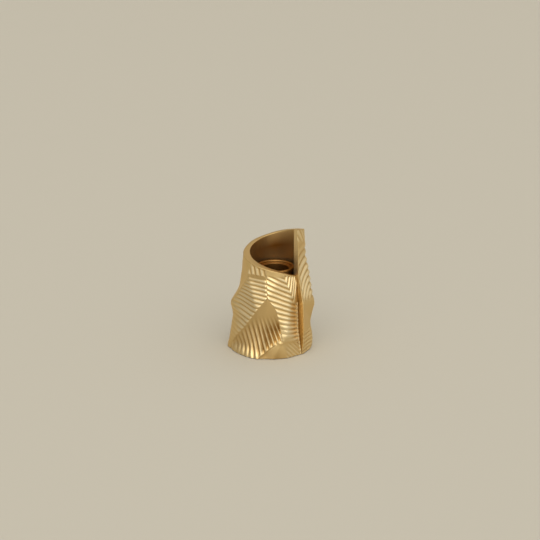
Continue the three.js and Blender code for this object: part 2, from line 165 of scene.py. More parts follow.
@dataclass(frozen=True)
class Chart:
    """The wall's grid, unrolled: the turn and the height of each of its points."""

    turns: Field
    heights: Field

    def away(self, spot: Spot) -> tuple[Field, Field]:
        """How far each point lies from a spot, along the turn and upwards, in millimetres."""
        return (self.turns - spot.turn) * GUIDE_ARC, self.heights - spot.height

    def share(self, start: Spot, end: Spot) -> Field:
        """How far each point lies on the way from one spot to another: 0 at the first, 1 at the second."""
        x, y = self.away(start)
        dx, dy = (end.turn - start.turn) * GUIDE_ARC, end.height - start.height
        return (x * dx + y * dy) / (dx * dx + dy * dy)

    def distance(self, line: Line) -> Field:
        """How far each point lies from a line, in millimetres."""
        best = np.full(self.turns.shape, np.inf)
        for a, b in zip(line, line[1:]):
            share = np.clip(self.share(a, b), 0.0, 1.0)
            x, y = self.away(a)
            x = x - share * (b.turn - a.turn) * GUIDE_ARC
            y = y - share * (b.height - a.height)
            best = np.minimum(best, np.hypot(x, y))
        return best

    def inside(self, outline: Line) -> Field:
        """Whether each point lies inside an outline."""
        found = np.zeros(self.turns.shape, bool)
        for a, b in zip(outline, outline[1:] + outline[:1]):
            if a.height != b.height:
                spans = (a.height > self.heights) != (b.height > self.heights)
                cross = a.turn + (self.heights - a.height) * (b.turn - a.turn) / (b.height - a.height)
                found ^= spans & (self.turns < cross)
        return found


@dataclass(frozen=True)
class Ease:
    """A smooth rise to 1 from one spot to another, level across the way between them."""

    start: Spot
    end: Spot
    low: float = 0.0  # where it starts from

    def at(self, chart: Chart) -> Field:
        """The rise at each point."""
        return self.low + (1.0 - self.low) * smooth_step(chart.share(self.start, self.end))


@dataclass(frozen=True)
class Beside:
    """A smooth rise to 1 from a line, on both sides of it."""

    line: Line
    reach: float
    low: float = 0.0  # where it starts from

    def at(self, chart: Chart) -> Field:
        """The rise at each point."""
        return self.low + (1.0 - self.low) * smooth_step(chart.distance(self.line) / self.reach)


def under_rim(gap: float, width: float) -> Ease:
    """A rise that follows the climbing rim, from 0 below it to 1 further down.

    Args:
        gap: How far below the rim the rise starts.
        width: How far it goes.

    Returns:
        The rise.
    """
    slope = math.atan(RIM_CLIMB / (360.0 * GUIDE_ARC))
    start = S(180.0, rim_height(180.0) - gap / math.cos(slope))
    turn = start.turn + width * math.sin(slope) / GUIDE_ARC
    return Ease(start, S(turn, start.height - width * math.cos(slope)))


class Run(Enum):
    """Which way reeds run on the whole."""

    LEVEL = "level"
    UPRIGHT = "upright"


@dataclass(frozen=True)
class Reeds:
    """Reeds laid along crest lines, and evenly spread between them."""

    run: Run
    lines: tuple[tuple[float, Line], ...]  # the reed's number and its crest line
    depth: float = 0.9
    hollow: float = 0.3  # how round the hollows are between the crests
    painted_highlight: float = 1.0  # how much painted highlight the crests get

    def places(self, chart: Chart) -> Field:
        """Which reed each point lies on: whole numbers are crests."""
        level = self.run is Run.LEVEL
        along, across = (chart.turns, chart.heights) if level else (chart.heights, chart.turns)
        gaps = []
        for _, line in self.lines:
            spots = sorted((s.turn, s.height) if level else (s.height, s.turn) for s in line)
            gaps.append(across - along_line(along, [s[0] for s in spots], [s[1] for s in spots]))
        numbers = [number for number, _ in self.lines]
        places = past = None
        for i, (low, high) in enumerate(zip(numbers, numbers[1:])):
            pitch = gaps[i] - gaps[i + 1]
            share = gaps[i] / np.where(np.abs(pitch) < LEAST_PITCH, LEAST_PITCH, pitch)
            here = low + (high - low) * share
            places = here if places is None else np.where(past > 1.0, here, places)
            past = share
        return places

    def section(self, chart: Chart) -> Field:
        """The reeds' section at each point: 0 on the crests and 1 in the hollows."""
        top = math.hypot(1.0, self.hollow)
        return (top - np.hypot(np.cos(np.pi * self.places(chart)), self.hollow)) / (top - self.hollow)


@dataclass(frozen=True)
class Panel:
    """One panel of the wrap: its outline, its reeds and how far it lies below the wall."""

    name: str
    outline: Line
    reeds: Reeds | None = None
    fades: tuple[Ease | Beside, ...] = ()  # each one thins the reeds out where it is low
    recess: float = 0.0
    recess_fades: tuple[Ease | Beside, ...] = ()  # the same for the recess
    edge: float = 0.3  # how softly it passes into its neighbours

    def share(self, chart: Chart) -> Field:
        """How much of each point belongs to the panel."""
        gap = chart.distance(self.outline + self.outline[:1])
        return smooth_step(0.5 + np.where(chart.inside(self.outline), gap, -gap) / (2.0 * self.edge))

    def press(self, chart: Chart) -> tuple[Field, Field]:
        """Presses the panel's recess and reeds into the wall.

        Args:
            chart: The grid.

        Returns:
            How far each point is pressed in, and how much painted highlight it gets near a reed's crest.
        """
        share = self.share(chart)
        depth = share * self.recess
        for fade in self.recess_fades:
            depth = depth * fade.at(chart)
        if self.reeds is None:
            return depth, np.zeros(share.shape)
        section = self.reeds.section(chart)
        for fade in self.fades:
            share = share * fade.at(chart)
        return depth + share * self.reeds.depth * section, share * self.reeds.painted_highlight * (1.0 - section)


@dataclass(frozen=True)
class Seam:
    """A line along which the wall is drawn in, with round shoulders."""

    line: Line
    depth: float = 0.8
    reach: float = 1.1
    ease: Ease | None = None  # where it is 0 the seam is lost

    def press(self, chart: Chart, depths: Field) -> Field:
        """Draws the wall in along the seam.

        Args:
            chart: The grid.
            depths: How far its points are pressed in already.

        Returns:
            The new depths.
        """
        share = np.clip(chart.distance(self.line) / self.reach, 0.0, 1.0)
        pull = 1.0 - np.sqrt(1.0 - (1.0 - share) ** 2)
        if self.ease:
            pull = pull * self.ease.at(chart)
        return depths + np.maximum(self.depth - depths, 0.0) * pull


def pair(
    run: Run, first: Line, last: Line, count: int, depth: float = 0.9, hollow: float = 0.3, painted_highlight: float = 1.0
) -> Reeds:
    """Reeds spread evenly from a first crest line to a last one, a count of reeds further on."""
    return Reeds(run, ((0.0, first), (float(count), last)), depth, hollow, painted_highlight)


def block(first: float, last: float, low: float, high: float) -> Line:
    """The outline of an upright block between two turns and two heights."""
    return S(first, low), S(first, high), S(last, high), S(last, low)


LOW, HIGH = -6.0, 125.0  # heights below the foot and above the rim
APEX, SEAM_TOP = S(60.8, 52.0), S(63.8, 70.0)
PLEAT_LEFT = (APEX, S(78, 40.4), S(91.4, 29.7), S(108.6, 18.3), S(130, 5.0), S(140, LOW))
PLEAT_RIGHT = (APEX, S(46.3, 41.3), S(40, 24.5), S(37, 14.3))
TOE_LINE = (S(37, 14.3), S(43.8, 13.1), S(54.4, 9.0), S(70, 1.5), S(74, LOW))
CHEVRON_FOLD = (S(3.6, 37.5), S(10.4, 45.1), S(19.3, 55.0), S(27.3, 63.9), S(38, 76), S(38, HIGH))
LIP_LINE = (S(0, 49), S(3.6, 45), S(4.7, 40), S(5.0, 27), S(5.2, 16), S(3.6, 8), S(0.8, LOW))
LEFT_BELLY, LEFT_WAIST = S(136, 39), S(138, 29)
REAR_LEFT_HIGH, REAR_LEFT_LOW, REAR_BELLY = S(172, 61), S(168, 22), S(200, 43)
REAR_HIGH, REAR_LOW, REAR_RIGHT_BELLY = S(232, 63), S(228, 21), S(262, 41)
REAR_RIGHT_HIGH, REAR_RIGHT_LOW = S(292, 67), S(290, 20)
RIGHT_BELLY, RIGHT_WAIST, RIGHT_HEEL = S(322, 39), S(322, 23.5), S(326, 8)

FRONT_REEDS = Reeds(
    Run.LEVEL, ((0.0, (S(12, 61.0), S(35, 66.4), S(62, 73.2))), (6.0, (S(12, 38.4), S(35, 42.9), S(50, 45.9))),
                (12.0, (S(12, 17.8), S(35, 19.2), S(62, 21.0)))), depth=0.95,
)

PANELS = (
    Panel("start_lip", (S(-3, LOW), S(-3, 47), *LIP_LINE[1:]), Reeds(Run.LEVEL, FRONT_REEDS.lines, depth=0.15),
          fades=(Ease(S(0, 30), S(1.6, 30)),), edge=0.25),
    Panel("front_fan",
          (*reversed(LIP_LINE[1:5]), *CHEVRON_FOLD[1:], S(63.8, HIGH), SEAM_TOP, *PLEAT_RIGHT, S(4.4, 12)),
          FRONT_REEDS,
          fades=(Ease(S(45, 70.2), S(45.6, 67.0)), Ease(S(24, 10), S(23.5, 13.5)),
              Ease(S(36, 20), S(17, 28), low=0.15), Beside(LIP_LINE, 1.6, low=0.3))),
    # One crest without hollows, as wide as the panel: a painted highlight all over it
    Panel("front_painted_highlight", (S(22, 15), S(36, 16), S(38, 26), S(30, 33), S(20, 27)),
          pair(Run.LEVEL, (S(10, 24), S(40, 24)), (S(10, 300), S(40, 300)), 1, depth=0.0, painted_highlight=0.6), edge=4.0),
    Panel("chevron_side", (S(-3, 47), *LIP_LINE[1:2], *CHEVRON_FOLD[1:], S(-3, HIGH)),
          Reeds(Run.UPRIGHT, ((0.0, (S(35.0, 50), S(23.6, 70))), (1.0, (S(30.4, 50), S(15.0, 70))),
              (3.0, (S(15.4, 50), S(0.4, 70)))), depth=0.85, hollow=0.4),
          fades=(under_rim(1.7, 1.4), Ease(S(-2, 54), S(5, 57)))),
    Panel("rim_reed", block(63.8, 101, 69.6, HIGH),
          pair(Run.UPRIGHT, (S(90.1, 68.6), S(94.3, 77.9)), (S(71.2, 69.0), S(74.8, 78.0)), 2, depth=1.0, hollow=0.8),
          fades=(under_rim(0.3, 1.8), Ease(S(101, 74), S(96.5, 73))), edge=0.5),
    Panel("rim_band", block(63.8, 101, 66.2, 69.6), recess=0.75, recess_fades=(Ease(S(103, 68), S(93, 68)),),
          edge=0.5),
    Panel("left_fan", (S(63.8, 66.2), S(102, 66.2), LEFT_BELLY, LEFT_WAIST, *reversed(PLEAT_LEFT)),
          Reeds(Run.LEVEL, ((0.0, (S(65, 65.0), S(90, 65.4), S(120, 66.4))),
              (4.0, (S(65, 51.1), S(90, 52.4), S(120, 53.7))), (7.0, (S(65, 40.2), S(90, 40.9), S(120, 43.3))),
              (12.0, (S(65, 21.0), S(90, 22.3), S(120, 24.3))))),
          fades=(Ease(S(121, 59), S(108, 52)), Ease(S(80, 68.6), S(80, 64.2)), Ease(S(137, 40), S(112, 44), low=0.2),
              Ease(S(134, 5), S(122, 15), low=0.2))),
    Panel("pleat", (*PLEAT_LEFT, *reversed(TOE_LINE), *reversed(PLEAT_RIGHT[1:-1])),
          Reeds(Run.UPRIGHT, ((0.0, (S(26.2, 2), S(44.6, 26))), (4.0, (S(59.0, 2), S(71.6, 26))),
              (13.0, (S(132.6, 2), S(146.0, 26)))), depth=1.75, hollow=0.7, painted_highlight=0.5),
          fades=(Beside(TOE_LINE, 3.2, low=0.15), Beside(PLEAT_LEFT, 3.0, low=0.2), Ease(S(79, 37), S(74, 19)),
              Ease(S(106, 12), S(60, 14), low=0.55), Ease(S(95, -1), S(95, 6), low=0.3)), recess=0.9,
          recess_fades=(Beside(TOE_LINE[:3], 8.0), Ease(S(98, 0), S(95, 9)))),
    Panel("toe_plain", (*TOE_LINE, S(28, LOW), S(30, 5)), recess=1.7, recess_fades=(Ease(S(38, 11), S(60, -3)),),
          edge=0.4),
    Panel("toe_ridge", (S(36, 12), S(42, 12), S(53, LOW), S(45, LOW)), recess=0.6, edge=3.5),
    Panel("toe_fan", (*reversed(LIP_LINE[5:]), S(4.4, 12), S(37, 14.3), S(30, 5), S(28, LOW)),
          pair(Run.UPRIGHT, (S(33.0, 11.5), S(17.0, 3.2)), (S(17.0, 11.0), S(1.5, 3.0)), 2, depth=0.45, painted_highlight=0.4),
          fades=(Ease(S(34, 9), S(25, 8)), Ease(S(20, 14), S(20, 10))), recess=0.15, edge=0.8),
    Panel("rear_left_fan", (LEFT_BELLY, REAR_LEFT_HIGH, REAR_BELLY, REAR_LEFT_LOW, LEFT_WAIST),
          pair(Run.LEVEL, (S(136, 57.5), S(200, 57.5)), (S(136, 23), S(200, 23)), 10),
          fades=(Ease(S(134, 50), S(148, 50)),)),
    Panel("rear_left_foot", (LEFT_WAIST, REAR_LEFT_LOW, S(182, LOW), S(138, LOW)),
          pair(Run.UPRIGHT, (S(138, 0), S(138, 24)), (S(182, 0), S(182, 24)), 6, depth=1.0, hollow=0.6),
          fades=(Ease(S(150, 27), S(150, 12)),), recess=0.8, recess_fades=(Ease(S(160, 3), S(160, 14)),)),
    Panel("rear_pleat", (REAR_LEFT_LOW, REAR_BELLY, REAR_LOW, S(228, LOW), S(182, LOW)),
          pair(Run.UPRIGHT, (S(176, 2), S(184, 40)), (S(230, 2), S(212, 40)), 7, depth=1.1, hollow=0.7),
          fades=(Ease(S(198, 43), S(198, 26)),), recess=0.9, recess_fades=(Ease(S(198, 3), S(198, 14)),)),
    Panel("rear_high_reed", (REAR_LEFT_HIGH, S(172, HIGH), S(232, HIGH), REAR_HIGH, REAR_BELLY),
          pair(Run.LEVEL, (S(172, 84), S(232, 72)), (S(172, 60), S(232, 44)), 6),
          fades=(under_rim(3.0, 9.0), Ease(S(172, 70), S(182, 68)))),
    Panel("rear_fan", (REAR_BELLY, REAR_HIGH, REAR_RIGHT_BELLY, REAR_LOW),
          pair(Run.UPRIGHT, (S(212, 24), S(236, 66)), (S(240, 18), S(262, 54)), 4, hollow=0.5)),
    Panel("rear_right_pleat", (REAR_LOW, REAR_RIGHT_BELLY, REAR_RIGHT_LOW, S(276, LOW), S(228, LOW)),
          pair(Run.LEVEL, (S(228, 2), S(290, 2)), (S(228, 38), S(290, 38)), 9, depth=1.0),
          fades=(Ease(S(262, 42), S(258, 28)),), recess=0.9, recess_fades=(Ease(S(252, 3), S(252, 14)),)),
    Panel("right_fan", (REAR_RIGHT_BELLY, REAR_RIGHT_HIGH, RIGHT_BELLY, RIGHT_WAIST, REAR_RIGHT_LOW),
          pair(Run.LEVEL, (S(264, 46), S(320, 60)), (S(264, 8.7), S(322, 24)), 9),
          fades=(Ease(S(322, 40), S(310, 40)),)),
    Panel("right_foot", (REAR_RIGHT_LOW, RIGHT_WAIST, RIGHT_HEEL, S(330, LOW), S(276, LOW)),
          pair(Run.UPRIGHT, (S(280, 1), S(298, 20)), (S(330, 1), S(330, 20)), 6, depth=1.0, hollow=0.6),
          fades=(Ease(S(300, 22), S(300, 10)), Ease(S(326, 10), S(316, 10))), recess=0.5,
          recess_fades=(Ease(S(322, 6), S(304, 10)),)),
    Panel("flap_reed", (REAR_RIGHT_HIGH, S(292, 94), S(363, 97), S(363, 38), RIGHT_BELLY),
          Reeds(Run.LEVEL, ((0.0, (S(292, 90.5), S(328, 89.5), S(340, 89.2), S(351, 88.0), S(362, 86.7))),
              (2.0, (S(292, 79.5), S(330, 75.7), S(341, 73.5), S(352, 70.8), S(362, 68.2))),
              (4.0, (S(292, 69.0), S(329, 64.8), S(337, 62.4), S(347, 58.2), S(354, 54.4), S(362, 49.7))),
              (5.0, (S(292, 64.0), S(329, 59.5), S(337, 56.1), S(342, 53.8), S(349, 49.4), S(362, 41.0))),
              (7.0, (S(292, 53.0), S(328, 47.9), S(335, 42.9), S(346, 37.9), S(362, 27.5)))), depth=1.3, hollow=0.5),
          fades=(Ease(S(346, 42.5), S(344, 51)), Ease(S(340, 99), S(341, 76)), Ease(S(293, 75), S(306, 73)),
              Ease(S(361, 70), S(354, 70), low=0.1)), edge=1.0),
    Panel("flap_tip", (S(312, 90), S(312, HIGH), S(363, HIGH), S(363, 97)),
          pair(Run.LEVEL, (S(344.1, 97.8), S(358, 104.8)), (S(333.6, 99.4), S(339.3, 102.7)), 1, depth=0.6),
          fades=(Ease(S(345, 92), S(343, 99)), Ease(S(316, 96), S(328, 98))), edge=1.0),
    Panel("heel", block(312, 338, LOW, 17), recess=-0.8, edge=4.0),
    Panel("pleat_heel", block(68, 120, LOW, 4), recess=-1.1, edge=5.0),
    Panel("left_belly", block(126, 148, 36, 44), recess=-1.3, edge=5.0),
    Panel("right_belly", block(314, 338, 36, 43), recess=-0.5, edge=5.0),
    Panel("left_heel", block(132, 146, LOW, 6), recess=-0.5, edge=3.0),
    Panel("flap_foot", block(324, 363, LOW, 22),
          pair(Run.LEVEL, (S(322, 20.4), S(360, 22.2)), (S(322, 4.8), S(360, 4.4)), 5, depth=0.8, painted_highlight=0.35),
          fades=(Ease(S(342, 22), S(342, 17)), Ease(S(324, 10), S(331, 10)), Ease(S(361, 10), S(356, 10), low=0.3))),
)

SEAMS = (
    Seam((APEX, SEAM_TOP), 0.9, 1.5),
    Seam(PLEAT_LEFT, 0.95, 1.2, Ease(S(118, 8), S(105, 14))),
    Seam(PLEAT_RIGHT, 0.95, 1.1),
    Seam(TOE_LINE, 1.2, 1.2, Ease(S(43, 13), S(56, 8))),
    Seam(LIP_LINE[1:], 0.8, 1.1),
    Seam((S(0, LOW), S(0, 50)), 0.5, 1.0),
    Seam((REAR_LEFT_HIGH, LEFT_BELLY, LEFT_WAIST, S(138, LOW)), 0.5, 1.4, Ease(S(168, 50), S(150, 42), low=0.4)),
    Seam((REAR_LEFT_HIGH, REAR_BELLY, REAR_LEFT_LOW, LEFT_WAIST)),
    Seam((REAR_LEFT_LOW, S(182, LOW))),
    Seam((REAR_BELLY, REAR_HIGH, REAR_RIGHT_BELLY, REAR_LOW, REAR_BELLY)),
    Seam((REAR_LOW, S(228, LOW))),
    Seam((REAR_RIGHT_BELLY, REAR_RIGHT_HIGH, RIGHT_BELLY, RIGHT_WAIST), ease=Ease(S(320, 45), S(308, 50))),
    Seam((REAR_RIGHT_BELLY, REAR_RIGHT_LOW, S(276, LOW))),
    Seam((REAR_RIGHT_LOW, RIGHT_WAIST), ease=Ease(S(320, 23), S(308, 22))),
)


# Shader nodes and shared effects

MIX_SHARE, MIX_A, MIX_B, MIX_RESULT = 0, 6, 7, 2  # places of a colour mix's sockets


def fill(tree: Tree, node: bpy.types.Node, inputs: Inputs) -> None:
    """Sets or links a node's inputs.

    Args:
        tree: The tree that the node is in.
        node: The node.
        inputs: What each input holds, or the socket that feeds it.
    """
    for key, value in inputs.items():
        if isinstance(value, Socket):
            tree.links.new(value, node.inputs[key])
        else:
            node.inputs[key].default_value = value


def add_node(tree: Tree, kind: str, inputs: Inputs, **settings: Any) -> Outputs:
    """Adds a shader node.

    Args:
        tree: The tree that it goes into.
        kind: The end of its type's name.
        inputs: What each input holds, or the socket that feeds it.
        settings: The node's own settings.

    Returns:
        Its outputs.
    """
    node = tree.nodes.new(f"ShaderNode{kind}")
    for key, value in settings.items():
        setattr(node, key, value)
    fill(tree, node, inputs)
    return node.outputs


def new_group(name: str, inputs: Names, outputs: Names) -> tuple[Tree, Outputs, bpy.types.Node]:
    """Starts a shader node group that takes a Vector and some numbers, and gives numbers.

    Args:
        name: The group's name.
        inputs: Names of the numbers that it takes.
        outputs: Names of the numbers that it gives.

    Returns:
        The group, the sockets of what it takes and its output node.
    """
    tree = bpy.data.node_groups.new(name, "ShaderNodeTree")
    tree.interface.new_socket("Vector", in_out="INPUT", socket_type="NodeSocketVector")
    for way, sockets in (("INPUT", inputs), ("OUTPUT", outputs)):
        for socket in sockets:
            tree.interface.new_socket(socket, in_out=way, socket_type="NodeSocketFloat")
    return tree, tree.nodes.new("NodeGroupInput").outputs, tree.nodes.new("NodeGroupOutput")


@cache
def mottle() -> Tree:
    """Soft cloudy variation and a fine grain, from a position.

    Returns:
        A group with Vector, Cloud Scale and Grain Scale in, and Cloud and Grain out.
    """
    tree, given, sink = new_group("mottle", ("Cloud Scale", "Grain Scale"), ("Cloud", "Grain"))
    for name, detail in (("Cloud", 3.0), ("Grain", 5.0)):
        place = {"Vector": given["Vector"], "Scale": given[f"{name} Scale"]}
        noise = add_node(tree, "TexNoise", place | {"Detail": detail, "Roughness": 0.55})
        fill(tree, sink, {name: noise["Fac"]})
    return tree


@cache
def lathe_marks() -> Tree:
    """Fine rings round the upright axis, as a turning tool leaves them.

    Returns:
        A group with Vector and Rings in, and Height out.
    """
    tree, given, sink = new_group("lathe_marks", ("Rings",), ("Height",))
    place = {"Vector": given["Vector"], "Scale": given["Rings"]}
    look = {"Distortion": 0.6, "Detail": 2.0}
    wave = add_node(tree, "TexWave", place | look, wave_type="RINGS", rings_direction="Z")
    fill(tree, sink, {"Height": wave["Fac"]})
    return tree


class Coat:
    """A material in the making."""

    def __init__(self, name: str) -> None:
        """Starts a material of this name."""
        self.material = bpy.data.materials.new(name)
        self.material.use_nodes = True
        self.tree = self.material.node_tree

    def done(self, **inputs: Any) -> Material:
        """Fills the Principled shader, with underscores for spaces in its inputs' names, and gives the material."""
        fill(self.tree, self.tree.nodes["Principled BSDF"], {key.replace("_", " "): inputs[key] for key in inputs})
        return self.material

    def effect(self, group: Tree, **inputs: float) -> Outputs:
        """Places a shared effect, fed with Object coordinates.

        Args:
            group: The effect's group.
            inputs: Its numbers, with underscores for spaces.

        Returns:
            Its outputs.
        """
        place = {"Vector": add_node(self.tree, "TexCoord", {})["Object"]}
        numbers = {key.replace("_", " "): value for key, value in inputs.items()}
        return add_node(self.tree, "Group", place | numbers, node_tree=group)

    def spread(self, value: Socket, low: float, high: float) -> Socket:
        """Maps a value from 0..1 to a range."""
        return add_node(self.tree, "MapRange", {"Value": value, "To Min": low, "To Max": high})["Result"]

    def mix(self, share: Socket, a: Colour | Socket, b: Colour) -> Socket:
        """Mixes two colours: the share is how much of the second one shows."""
        first = a if isinstance(a, Socket) else (*a, 1.0)
        inputs = {MIX_SHARE: share, MIX_A: first, MIX_B: (*b, 1.0)}
        return add_node(self.tree, "Mix", inputs, data_type="RGBA")[MIX_RESULT]

    def bump(self, height: Socket, strength: float, distance: float) -> Socket:
        """A normal that follows a height, which is this many millimetres high."""
        inputs = {"Height": height, "Strength": strength, "Distance": distance * MM}
        return add_node(self.tree, "Bump", inputs)["Normal"]


# Finishes


@dataclass(frozen=True)
class SatinBrass:
    """Cast brass, hand-finished satin, with painted highlight on the reeds' crests and painted shade in the hollows
    and the well.
    """

    slot: Slot = Slot.SATIN_BRASS
    plain: Colour = (0.74, 0.535, 0.245)
    # painted highlight: a lighter colour on the reeds' crests and on the upright end
    crest: Colour = (0.88, 0.72, 0.43)
    # painted shade in the hollows, the crevice, on the rim and in the end's groove; partly patina in the hollows
    hollow: Colour = (0.42, 0.25, 0.08)
    # painted shade inside the well and on the rim near the wall's start
    well: Colour = (0.2, 0.068, 0.004)
    edge: Colour = (1.0, 0.9, 0.73)  # seen along the surface
    roughness: tuple[float, float] = (0.34, 0.44)
    well_roughness: float = 0.42
    masks: tuple[str, str, str] = ("hollow", "crest", "well")  # attributes that say where each colour shows: painted shade in the hollows, painted highlight on the crests, painted shade in the well

    def make(self) -> Material:
        """Builds the material."""
        coat = Coat(self.slot.value)
        tone = coat.effect(mottle(), Cloud_Scale=90.0, Grain_Scale=1400.0)
        hollow, crest, well = (add_node(coat.tree, "Attribute", {}, attribute_name=name)["Fac"] for name in self.masks)
        # painted shade from the hollows and painted highlight from the crests, over the plain colour
        painted_light_tone = coat.mix(crest, coat.mix(hollow, self.plain, self.hollow), self.crest)
        satin = coat.spread(tone["Cloud"], *self.roughness)
        return coat.done(
            Metallic=1.0,
            Specular_Tint=(*self.edge, 1.0),
            Base_Color=coat.mix(well, painted_light_tone, self.well),
            Roughness=add_node(coat.tree, "Mix", {"Factor": well, "A": satin, "B": self.well_roughness})["Result"],
            Normal=coat.bump(tone["Grain"], strength=0.25, distance=0.05),
        )


@dataclass(frozen=True)
class TurnedMetal:
    """Turned metal with fine tool rings."""

    slot: Slot
    clean_tone_and_painted_light: Colour
    dull: Colour
    edge: Colour  # seen along the surface
    roughness: tuple[float, float]
    satin_by: str  # the part of the mottle that the roughness follows
    scales: Triple  # of the clouds, the grain and the rings

    def make(self) -> Material:
        """Builds the material."""
        cloud, grain, rings = self.scales
        coat = Coat(self.slot.value)
        tone = coat.effect(mottle(), Cloud_Scale=cloud, Grain_Scale=grain)
        marks = coat.effect(lathe_marks(), Rings=rings)
        return coat.done(
            Metallic=1.0,
            Specular_Tint=(*self.edge, 1.0),
            Base_Color=coat.mix(tone["Cloud"], self.clean_tone_and_painted_light, self.dull),
            Roughness=coat.spread(tone[self.satin_by], *self.roughness),
            Normal=coat.bump(marks["Height"], strength=0.3, distance=0.03),
        )


# Painted shade: both tones are darkened for the shade that the cup and its pillar sit in, deep in the well; the mottle
# between them is random tone.
TURNED_BRASS = TurnedMetal(
    Slot.TURNED_BRASS, clean_tone_and_painted_light=(0.35, 0.185, 0.055), dull=(0.285, 0.14, 0.037), edge=(1.0, 0.78, 0.5),
    roughness=(0.36, 0.46), satin_by="Cloud", scales=(140.0, 1800.0, 900.0),
)
PLAIN_STEEL = TurnedMetal(
    Slot.PLAIN_STEEL, clean_tone_and_painted_light=(0.52, 0.52, 0.53), dull=(0.33, 0.32, 0.31), edge=(1.0, 1.0, 1.0),
    roughness=(0.32, 0.5), satin_by="Grain", scales=(160.0, 1600.0, 700.0),
)


@dataclass(frozen=True)
class DarkFelt:
    """Pressed felt with a fibrous face."""

    slot: Slot = Slot.DARK_FELT
    pile: Colour = (0.035, 0.032, 0.03)
    fleck: Colour = (0.085, 0.078, 0.07)
    roughness: float = 0.95

    def make(self) -> Material:
        """Builds the material."""
        coat = Coat(self.slot.value)
        grain = coat.effect(mottle(), Cloud_Scale=500.0, Grain_Scale=2600.0)["Grain"]
        return coat.done(
            Roughness=self.roughness,
            Base_Color=coat.mix(grain, self.pile, self.fleck),
            Normal=coat.bump(grain, strength=0.8, distance=0.25),
        )


# Making pieces


def put(name: str, data: bpy.types.ID) -> Object:
    """Puts an object of this name and data in the scene."""
    thing = bpy.data.objects.new(name, data)
    bpy.context.scene.collection.objects.link(thing)
    return thing


def put_mesh(name: str, bm: Mesh, material: Material) -> Object:
    """Puts a smooth mesh in the scene.

    Args:
        name: Its name.
        bm: The mesh, which is freed.
        material: Its material.

    Returns:
        The object.
    """
    for face in bm.faces:
        face.smooth = True
    mesh = bpy.data.meshes.new(name)
    bm.to_mesh(mesh)
    bm.free()
    mesh.materials.append(material)
    return put(name, mesh)


@dataclass
class Piece:
    """A piece that is built anew and stands for a node of the frame."""

    finish: SatinBrass | TurnedMetal | DarkFelt
    name: str
    node: str
    body: Body = Body.STAND
    sharp_angle: float = 50.0  # edges that bend more than this stay sharp

    def finished(self, bm: Mesh) -> Object:
        """Turns a mesh into the piece.

        Args:
            bm: The mesh, which is freed.

        Returns:
            The piece.
        """
        bm.normal_update()
        limit = math.radians(self.sharp_angle)
        for edge in bm.edges:
            edge.smooth = edge.calc_face_angle(0.0) < limit and not edge.tag
        piece = put_mesh(self.name, bm, self.finish.make())
        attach(piece, self.body.value)
        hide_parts(self.node)
        LOG.info("%s: %d faces", self.name, len(piece.data.polygons))
        return piece


